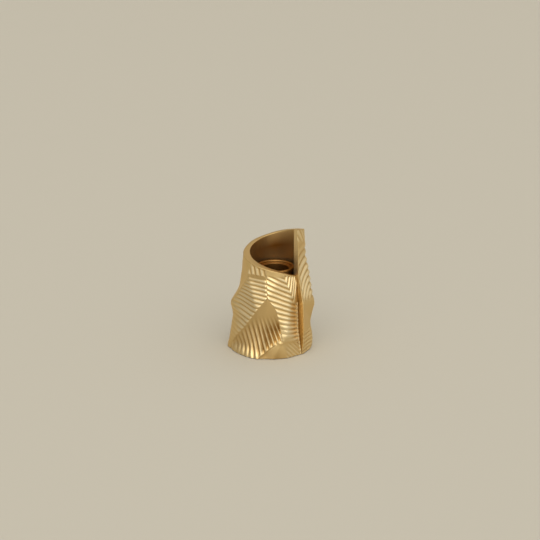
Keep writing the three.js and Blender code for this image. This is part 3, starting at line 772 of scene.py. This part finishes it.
@dataclass
class WrapShell(Piece):
    """The cast wall: faceted and reeded outside, with a rolled rim and a smooth round well."""

    finish: SatinBrass
    name: str = "reeded_shell"
    node: str = "outer_shell"
    sharp_angle: float = 60.0
    foot: float = 0.6
    foot_ring: float = 1.0  # how far outside the plate's seat the foot's wide ring ends
    seat_radius: float = 26.2  # the seat that the base plate is let into
    well_radius: float = 20.6
    well_keep: float = 30.0  # below this height the frame's own well wall stays
    well_gap: float = 2.0  # how far above that the new well wall ends
    columns: tuple[tuple[float, float], ...] = (  # from this turn on, degrees between the grid's columns
        (0.0, 0.3), (9.0, 0.6), (80.0, 0.8), (140.0, 1.5), (318.0, 0.8), (352.0, 0.5),
    )
    rows: int = 221
    mean_height: float = 85.0
    fold_round: float = 1.2  # how far the folds between facets are softened
    crown_round: float = 8.0  # the same near the rim, which is rounder
    crown_reach: float = 14.0
    rim_round: float = 0.4
    rim_painted_shade: float = 0.55  # painted shade on the rim: how much of the hollows' colour it has
    well_round: float = 0.4
    round_steps: tuple[int, int] = (4, 3)  # strips in the rim's outer and inner rounds
    well_rows: tuple[float, ...] = (0.0, 0.15, 0.4, 1.0)  # rows of the well, as shares of the way down
    well_first: float = 1.0  # how far below the rim the first one lies
    end_round: float = 0.7
    end_share: float = 0.5  # the most of the end's width that its rounded corner takes up
    end_inset: float = 0.25
    end_highlight_heights: tuple[float, float] = (58.0, 66.0)  # between these heights the upright end takes on a painted highlight
    end_least_shade: float = 0.45  # the least painted shade, in the hollows' colour, that it has below them
    end_highlight_fall: float = 0.75  # how much less painted highlight it has further up
    end_highlight_reach: float = 30.0
    crevice: float = 1.5  # degrees of turn over which painted shade darkens the wall towards its end's foot
    well_shade: Triple = (0.45, 13.0, 12.0)  # painted shade in the well: its darkness at the rim, and how that changes downwards
    well_dark: Triple = (228.0, 90.0, 0.9)  # the turn where the well's painted shade is darkest, and its fall from there
    well_lit: float = 0.55  # how much of that painted shade is lost low in the well, which light from above reaches
    start_shadow: tuple[float, float] = (30.0, 0.9)  # before this turn the rim gets a painted shadow, and how dark it is
    hollow_depth: float = 2.4  # this far below its surroundings, a hollow gets its darkest painted shade
    weld: float = 0.002
    slack: float = 0.05  # a place this far off still counts as on a ring
    level_slack: float = 0.01  # the same for heights
    clear: float = 0.02  # rays keep this far from the wall's ends and foot
    bm: Mesh = field(init=False)

    def build(self) -> None:
        """Makes the shell."""
        self.bm = bmesh.new()
        self.bm.from_mesh(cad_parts[self.node].data)
        layers = self.bm.verts.layers.float
        scratch = ("turn", "wall")
        for name in (*scratch, *self.finish.masks):
            layers.new(name)
        self.turn_of, self.wall_of = (layers[name] for name in scratch)
        self.hollow_of, self.crest_of, self.well_of = (layers[name] for name in self.finish.masks)
        self._weld()
        self._keep_inside()
        bottom, top = self._wall()
        self._roll_rim(top)
        self._turn_foot(bottom)
        self._close_end()
        for name in scratch:
            layers.remove(layers[name])
        self.finished(self.bm)

    def _weld(self) -> None:
        """Merges vertices that lie on each other."""
        bmesh.ops.remove_doubles(self.bm, verts=self.bm.verts, dist=self.weld * MM)

    def _keep_inside(self) -> None:
        """Keeps only the frame's lower well, cut off level, the ledge with its screw holes and the plate's seat."""
        bmesh.ops.bisect_plane(
            self.bm,
            geom=list(self.bm.verts) + list(self.bm.edges) + list(self.bm.faces),
            dist=1e-7,
            plane_co=(0, 0, self.well_keep * MM),
            plane_no=UP,
        )
        limit, top = (self.seat_radius + self.slack) * MM, (self.well_keep + self.level_slack) * MM
        gone = [f for f in self.bm.faces if any(v.co.xy.length > limit or v.co.z > top for v in f.verts)]
        bmesh.ops.delete(self.bm, geom=gone, context="FACES")

    # The outside

    def _chart(self) -> Chart:
        """Lays out the wall's grid."""
        starts = [start for start, _ in self.columns] + [360.0]
        pieces = [
            np.linspace(low, high, round((high - low) / step), endpoint=False)
            for (low, step), high in zip(self.columns, starts[1:])
        ]
        turns = np.append(np.concatenate(pieces), 360.0)
        shares = np.linspace(0.0, 1.0, self.rows)
        tops = rim_height(turns) - self.rim_round
        heights = self.foot + (tops - self.foot)[:, None] * shares[None, :]
        return Chart(np.repeat(turns[:, None], self.rows, axis=1), heights)

    def _facets(self, chart: Chart) -> Field:
        """Finds the frame's faceted wall under each point of the grid.

        Args:
            chart: The grid.

        Returns:
            The wall's radius at each point.
        """
        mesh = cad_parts[self.node].data
        tree = BVHTree.FromPolygons([v.co for v in mesh.vertices], [p.vertices for p in mesh.polygons])
        radii = np.empty(chart.turns.shape)
        for i, turn in enumerate(chart.turns[:, 0]):
            away = outward(min(max(turn, self.clear), 360.0 - self.clear))
            for j, height in enumerate(chart.heights[i]):
                start = (away * 2.0 * GUIDE_RADIUS + UP * max(height, self.foot + self.clear)) * MM
                radii[i, j] = tree.ray_cast(start, -away)[0].xy.length / MM
        return radii

    def _radii(self, chart: Chart, depths: Field) -> Field:
        """Softens the faceted wall and presses the panels and seams into it.

        Args:
            chart: The grid.
            depths: How far each point is pressed in.

        Returns:
            The radius at each point.
        """
        facets = self._facets(chart)
        arcs = chart.turns[:, 0] * GUIDE_ARC
        upright = blur(np.linspace(0.0, self.mean_height, self.rows), self.fold_round).T
        wall = blur(arcs, self.fold_round) @ facets @ upright
        crown = blur(arcs, self.crown_round) @ facets @ upright
        near = smooth_step(1.0 - (rim_height(chart.turns) - chart.heights) / self.crown_reach)
        radii = wall + (crown - wall) * near - depths
        proud = radii[-1] - np.interp(chart.heights[-1], chart.heights[0], radii[0], right=self.well_radius)
        corner = np.clip(self.end_share * proud, self.slack, self.end_round)
        to_end = np.minimum((360.0 - chart.turns) * np.radians(radii), corner)
        return radii - corner + np.sqrt(corner**2 - (corner - to_end) ** 2)

    def _wall(self) -> tuple[Edges, Edges]:
        """Lays the grid round the well.

        Returns:
            The open edges along its bottom and along its top.
        """
        chart = self._chart()
        pressed = {panel.name: panel.press(chart) for panel in PANELS}
        LOG.info("panels: %s", ", ".join(pressed))
        depths, crests = (sum(part) for part in zip(*pressed.values()))
        for seam in SEAMS:
            depths = seam.press(chart, depths)
        # painted shade: darker with depth in the hollows, and in the crevice at the wall's start
        hollows = np.maximum(depths / self.hollow_depth, smooth_step(1.0 - chart.turns / self.crevice))
        radii = self._radii(chart, depths)
        last_column, last_row = (count - 1 for count in radii.shape)
        half = 0.5
        made = bmesh.ops.create_grid(self.bm, x_segments=last_column, y_segments=last_row, size=half)["verts"]
        ends: tuple[set, set] = (set(), set())
        for vert in made:
            i, j = round((vert.co.x + half) * last_column), round((vert.co.y + half) * last_row)
            vert[self.turn_of] = chart.turns[i, 0]
            vert[self.wall_of] = radii[i, last_row if j else 0]
            # painted shade from the hollows, painted highlight from the crests
            vert[self.hollow_of] = min(1.0, hollows[i, j])
            vert[self.crest_of] = crests[i, j]
            self._place(vert, radii[i, j], chart.heights[i, j])
            if j in (0, last_row):
                ends[j > 0].add(vert)
        bottom, top = (list({e for v in row for e in v.link_edges if e.other_vert(v) in row}) for row in ends)
        return bottom, top

    def _place(self, vert: Vert, radius: float, height: float) -> None:
        """Puts a vertex at a radius and a height, at its own turn."""
        vert.co = (outward(vert[self.turn_of]) * radius + UP * height) * MM

    # The rim, the well, the foot and the upright end

    def _extrude(self, chain: Edges) -> tuple[Edges, list[Vert]]:
        """Extrudes a chain of edges, and gives the new edges and the new vertices."""
        made = bmesh.ops.extrude_edge_only(self.bm, edges=chain)["geom"]
        return [item for item in made if isinstance(item, Edge)], [item for item in made if isinstance(item, Vert)]

    def _roll_rim(self, chain: Edges) -> None:
        """Extrudes the wall's top edge over the rim and down the well.

        Args:
            chain: The open edges along the wall's top.
        """
        quarter, (outer, inner) = math.pi / 2, self.round_steps
        r, q, low_end = self.rim_round, self.well_round, self.well_keep + self.well_gap
        start, shade = self.start_shadow
        over = [(True, r - r * math.cos(a), r - r * math.sin(a)) for a in np.linspace(0.0, quarter, outer + 1)[1:]]
        over += [(False, q - q * math.sin(a), q - q * math.cos(a)) for a in np.linspace(0.0, quarter, inner + 1)]
        for outside, away, down in over:
            chain, verts = self._extrude(chain)
            for vert in verts:
                # painted shade on the rim, and a painted shadow on it near the wall's start
                vert[self.hollow_of], vert[self.crest_of] = self.rim_painted_shade, 0.0
                vert[self.well_of] = shade * float(smooth_step(2.0 - 2.0 * vert[self.turn_of] / start))
                radius = vert[self.wall_of] - away if outside else self.well_radius + away
                self._place(vert, radius, rim_height(vert[self.turn_of]) - self.weld - down)
        for share in (*self.well_rows, None):
            chain, verts = self._extrude(chain)
            for vert in verts:
                rim = rim_height(vert[self.turn_of])
                height = low_end if share is None else rim - self.well_first - share * (rim - RIM_LOW + RIM_DIP)
                self._place(vert, self.well_radius, height)
                self._shade_well(vert, rim - height)
        self._weld()
        rings = self._open_rings(self.well_radius, self.well_keep, low_end)
        # full painted shade on the lower well's wall
        for face in bmesh.ops.bridge_loops(self.bm, edges=rings)["faces"]:
            for vert in face.verts:
                vert[self.well_of] = 1.0

    def _shade_well(self, vert: Vert, depth: float) -> None:
        """Paints shade on a vertex of the well's wall.

        Args:
            vert: The vertex.
            depth: How far it lies below the rim.
        """
        dark, reach, low = self.well_shade
        middle, width, fall = self.well_dark
        aside = float(smooth_step(abs(vert[self.turn_of] - middle) / width))
        deep = dark + (1.0 - dark) * float(smooth_step(depth / reach))
        lit = float(smooth_step((depth - low) / reach))
        vert[self.hollow_of] = vert[self.crest_of] = 0.0
        vert[self.well_of] = deep * (1.0 - fall * aside) * (1.0 - self.well_lit * lit)

    def _turn_foot(self, chain: Edges) -> None:
        """Carries the wall's bottom edge in to the plate's seat.

        Args:
            chain: The open edges along the wall's bottom.
        """
        ring = self.seat_radius + self.foot_ring
        verts = self._extrude(chain)[1]
        for vert in verts:
            self._place(vert, ring, self.foot)
        ends = [pick(verts, key=lambda vert: vert[self.turn_of]) for pick in (min, max)]
        near, out = (
            next(e for e in end.link_edges if e.other_vert(end).co.xy.length > end.co.xy.length + self.foot_ring * MM)
            for end in ends
        )
        bmesh.utils.edge_split(out, ends[1], near.calc_length() / out.calc_length())
        self._weld()
        bmesh.ops.triangle_fill(self.bm, edges=self._open_rings(ring, self.foot, self.foot), use_beauty=True)

    def _open_rings(self, radius: float, low: float, high: float) -> Edges:
        """Finds two open rings that are to be joined.

        Args:
            radius: The rings lie within this radius.
            low: They lie above this height.
            high: They lie below this one.

        Returns:
            Their edges.
        """
        limit = (radius + self.slack) * MM
        low, high = (low - self.level_slack) * MM, (high + self.level_slack) * MM
        rims = (edge for edge in self.bm.edges if edge.is_boundary)
        return [e for e in rims if all(v.co.xy.length < limit and low < v.co.z < high for v in e.verts)]

    def _close_end(self) -> None:
        """Fills the wall's upright end, and paints highlight and shade on it."""
        open_edges = [edge for edge in self.bm.edges if edge.is_boundary]
        made = bmesh.ops.holes_fill(self.bm, edges=open_edges, sides=0)["faces"]
        LOG.info("upright end: %d faces from %d edges", len(made), len(open_edges))
        bmesh.ops.recalc_face_normals(self.bm, faces=self.bm.faces)
        for edge in {edge for face in made for edge in face.edges}:
            edge.tag = True
        bmesh.ops.inset_region(self.bm, faces=made, thickness=self.end_inset * MM)
        # painted light on the upright end: a painted highlight above, less further up, and painted shade in the groove
        # below
        low, high = self.end_highlight_heights
        for vert in {vert for face in made for vert in face.verts}:
            height = vert.co.z / MM
            clean_tone_and_painted_light = float(smooth_step((height - low) / (high - low)))
            bright = 1.0 - self.end_highlight_fall * float(smooth_step((height - high) / self.end_highlight_reach))
            vert[self.crest_of] += (bright - vert[self.crest_of]) * clean_tone_and_painted_light
            vert[self.hollow_of] = max(vert[self.hollow_of], self.end_least_shade) * (1.0 - clean_tone_and_painted_light)
            vert[self.well_of] *= 1.0 - clean_tone_and_painted_light


def spun(profile: list[tuple[float, float]], steps: int) -> Mesh:
    """Spins a profile round the upright axis.

    Args:
        profile: Radius and height of each corner, from the axis at the bottom to the axis at the top.
        steps: Sides of the round.

    Returns:
        A closed mesh, facing out.
    """
    bm = bmesh.new()
    verts = [bm.verts.new((r * MM, 0.0, z * MM)) for r, z in profile]
    edges = [bm.edges.new(ends) for ends in zip(verts, verts[1:])]
    whole = {"cent": (0, 0, 0), "axis": UP, "dvec": (0, 0, 0), "angle": math.tau}
    bmesh.ops.spin(bm, geom=verts + edges, steps=steps, use_merge=True, **whole)
    bmesh.ops.remove_doubles(bm, verts=bm.verts, dist=POLE_WELD * MM)
    bmesh.ops.recalc_face_normals(bm, faces=bm.faces)
    return bm


def round_corners(bm: Mesh, offset: float, above: float = -1.0) -> None:
    """Rounds the sharp edges of a turned mesh.

    Args:
        bm: The mesh.
        offset: How far the round reaches, in millimetres.
        above: Only edges above this height are rounded.
    """
    bm.normal_update()
    limit = math.radians(CORNER_ANGLE)
    bmesh.ops.bevel(
        bm,
        geom=[e for e in bm.edges if e.calc_face_angle(0.0) > limit and min(v.co.z for v in e.verts) > above * MM],
        offset=offset * MM,
        offset_type="OFFSET",
        affect="EDGES",
        segments=CORNER_STRIPS,
        profile=0.5,
        material=-1,
        clamp_overlap=True,
    )


@dataclass
class CandleCup(Piece):
    """The turned cup with its stepped mouth and its spigot."""

    name: str = "turned_cup"
    node: str = "candle_cup"
    body: Body = Body.CUP
    bore_radius: float = 11.5
    bore_depth: float = 20.0
    step_width: float = 2.3
    step_depth: float = 2.0
    lip_width: float = 2.2
    lip_height: float = 3.2
    wall: float = 3.0
    floor: float = 3.0
    spigot_radius: float = 7.0
    lip_round: float = 0.95
    lip_clear: float = 0.1  # how far above the step the lip's edges start
    corner: float = 0.4
    sides: int = 128

    def build(self) -> None:
        """Makes the cup."""
        low, high = (corner[2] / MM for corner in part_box(self.node))
        ledge = high - self.step_depth
        bottom = ledge - self.bore_depth
        underside = bottom - self.floor
        body = self.bore_radius + self.wall
        step = self.bore_radius + self.step_width
        lip = step + self.lip_width
        lip_low = high - self.lip_height
        spigot = [(0, low), (self.spigot_radius, low), (self.spigot_radius, underside)]
        outside = [(body, underside), (body, lip_low), (lip, lip_low), (lip, high)]
        inside = [(step, high), (step, ledge), (self.bore_radius, ledge), (self.bore_radius, bottom), (0, bottom)]
        bm = spun(spigot + outside + inside, self.sides)
        round_corners(bm, self.lip_round, above=ledge + self.lip_clear)
        round_corners(bm, self.corner)
        self.finished(bm)


@dataclass
class FeltPad(Piece):
    """The felt disc glued under the base plate."""

    name: str = "felt_disc"
    node: str = "felt_pad"
    sides: int = 96
    edge_round: float = 0.35
    rings: int = 3  # inset in each face
    ring_part: int = 5  # each one's width, as a part of the radius

    def build(self) -> None:
        """Makes the pad."""
        low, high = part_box(self.node)
        radius, thickness = (high[0] - low[0]) / 2, high[2] - low[2]
        bm = bmesh.new()
        bmesh.ops.create_circle(bm, cap_ends=True, segments=self.sides, radius=radius)
        up = bmesh.ops.extrude_face_region(bm, geom=list(bm.faces))
        top = [item for item in up["geom"] if isinstance(item, Vert)]
        bmesh.ops.translate(bm, verts=top, vec=(0, 0, thickness))
        bmesh.ops.recalc_face_normals(bm, faces=bm.faces)
        round_corners(bm, self.edge_round)
        for _ in range(self.rings):
            caps = [face for face in bm.faces if len(face.verts) == self.sides]
            bmesh.ops.inset_region(bm, faces=caps, thickness=radius / self.ring_part, use_even_offset=True)
        piece = self.finished(bm)


@dataclass
class HiddenParts:
    """Pieces that keep the frame's own shape and get a finish: the pillar, the plate and the screws."""

    steel: TurnedMetal
    brass: TurnedMetal
    steel_nodes: Names = ("base_plate", "pillar_screw", "plate_screw_1", "plate_screw_2", "plate_screw_3")
    brass_nodes: Names = ("cup_pillar",)

    def dress(self) -> None:
        """Puts the finishes on."""
        for finish, names in ((self.steel, self.steel_nodes), (self.brass, self.brass_nodes)):
            material = finish.make()
            for name in names:
                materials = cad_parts[name].data.materials
                materials.clear()
                materials.append(material)
                LOG.info("%s: %s", name, material.name)


@dataclass(frozen=True)
class Studio:
    """The camera at the photograph's angle, a pale sweep and soft lights."""

    lens: float = 121.4
    sensor: float = 36.0
    clip_end: float = 20.0  # metres
    distance: float = 1500.0
    elevation: float = 18.5
    aim: Triple = (-4.1, 0.0, 66.9)
    floor_colour: Colour = (0.513, 0.476, 0.391)
    floor_roughness: float = 0.9
    floor_back: float = 3.0  # metres from the object to the backdrop's foot
    floor_wide: float = 12.0  # the same to the floor's other edges
    backdrop_round: float = 1.2
    backdrop_steps: int = 24
    key_place: Triple = (-700.0, -1900.0, 2400.0)
    key_size: float = 2400.0
    key_power: float = 10.0
    room_colour: Colour = (1.0, 0.98, 0.94)
    horizon: float = 0.30
    glows: tuple[tuple[Triple, float, float], ...] = (  # direction, strength, tightness
        ((0.15, 0.1, 1.0), 0.55, 1.0),
        ((0.05, -0.82, 0.57), 1.8, 5.0),
        ((0.88, 0.1, 0.45), 0.18, 4.0),
        ((0.62, -0.6, 0.5), 0.16, 8.0),
    )

    def build(self) -> None:
        """Makes the camera, the floor and the lights."""
        self._camera()
        self._floor()
        self._key_light()
        self._world()

    def _camera(self) -> None:
        """Places the camera and makes it the scene's."""
        camera = put("camera", bpy.data.cameras.new("camera"))
        camera.data.lens = self.lens
        camera.data.sensor_width = self.sensor
        rise = math.radians(self.elevation)
        back = Vector((0, -math.cos(rise), math.sin(rise)))
        camera.location = (Vector(self.aim) + back * self.distance) * MM
        camera.rotation_euler = (math.pi / 2 - rise, 0, 0)
        camera.data.clip_end = self.clip_end
        bpy.context.scene.camera = camera

    def _floor(self) -> None:
        """Makes the floor with a wide curve up to the backdrop."""
        back, wide = self.floor_back, self.floor_wide
        bm = bmesh.new()
        bmesh.ops.create_grid(bm, x_segments=1, y_segments=1, size=back)
        bmesh.ops.scale(bm, verts=bm.verts, vec=(wide / back, 1.0, 1.0))
        bmesh.ops.translate(bm, verts=[v for v in bm.verts if v.co.y < 0.0], vec=(0.0, back - wide, 0.0))
        edge = max(bm.edges, key=lambda e: e.verts[0].co.y + e.verts[1].co.y)
        curve = {"cent": (0, back, self.backdrop_round), "axis": (1, 0, 0), "dvec": (0, 0, 0), "angle": math.pi / 2}
        bmesh.ops.spin(bm, geom=[edge, *edge.verts], steps=self.backdrop_steps, **curve)
        bmesh.ops.remove_doubles(bm, verts=bm.verts, dist=MM)
        bmesh.ops.recalc_face_normals(bm, faces=bm.faces)
        paper = Coat("sweep_paper").done(Base_Color=(*self.floor_colour, 1.0), Roughness=self.floor_roughness)
        put_mesh("sweep", bm, paper)

    def _key_light(self) -> None:
        """Places a square soft light that faces the object."""
        data = bpy.data.lights.new("key_light", "AREA")
        data.shape = "SQUARE"
        data.size = self.key_size * MM
        data.energy = self.key_power
        light = put("key_light", data)
        light.location = Vector(self.key_place) * MM
        light.rotation_euler = (Vector(self.aim) * MM - light.location).to_track_quat("-Z", "Y").to_euler()

    def _world(self) -> None:
        """Gives the room an even, warm white light with soft glows."""
        world = bpy.data.worlds.new("room")
        world.use_nodes = True
        tree = world.node_tree
        place = add_node(tree, "TexCoord", {})["Generated"]
        light: float | Socket = self.horizon
        for toward, strength, tightness in self.glows:
            toward = Vector(toward).normalized()
            dot = add_node(tree, "VectorMath", {0: place, 1: toward}, operation="DOT_PRODUCT")["Value"]
            lit = add_node(tree, "Clamp", {"Value": dot})["Result"]
            shape = add_node(tree, "Math", {0: lit, 1: tightness}, operation="POWER")["Value"]
            light = add_node(tree, "Math", {0: shape, 1: strength, 2: light}, operation="MULTIPLY_ADD")["Value"]
        fill(tree, tree.nodes["Background"], {"Strength": light, "Color": (*self.room_colour, 1.0)})
        bpy.context.scene.world = world
        bpy.context.scene.view_settings.view_transform = "Standard"


def main() -> None:
    """Builds the studio and every piece in order."""
    logging.basicConfig(level=logging.INFO, format="%(message)s")
    Studio().build()
    WrapShell(SatinBrass()).build()
    CandleCup(TURNED_BRASS).build()
    FeltPad(DarkFelt()).build()
    HiddenParts(PLAIN_STEEL, TURNED_BRASS).dress()


if __name__ == "__main__":
    main()
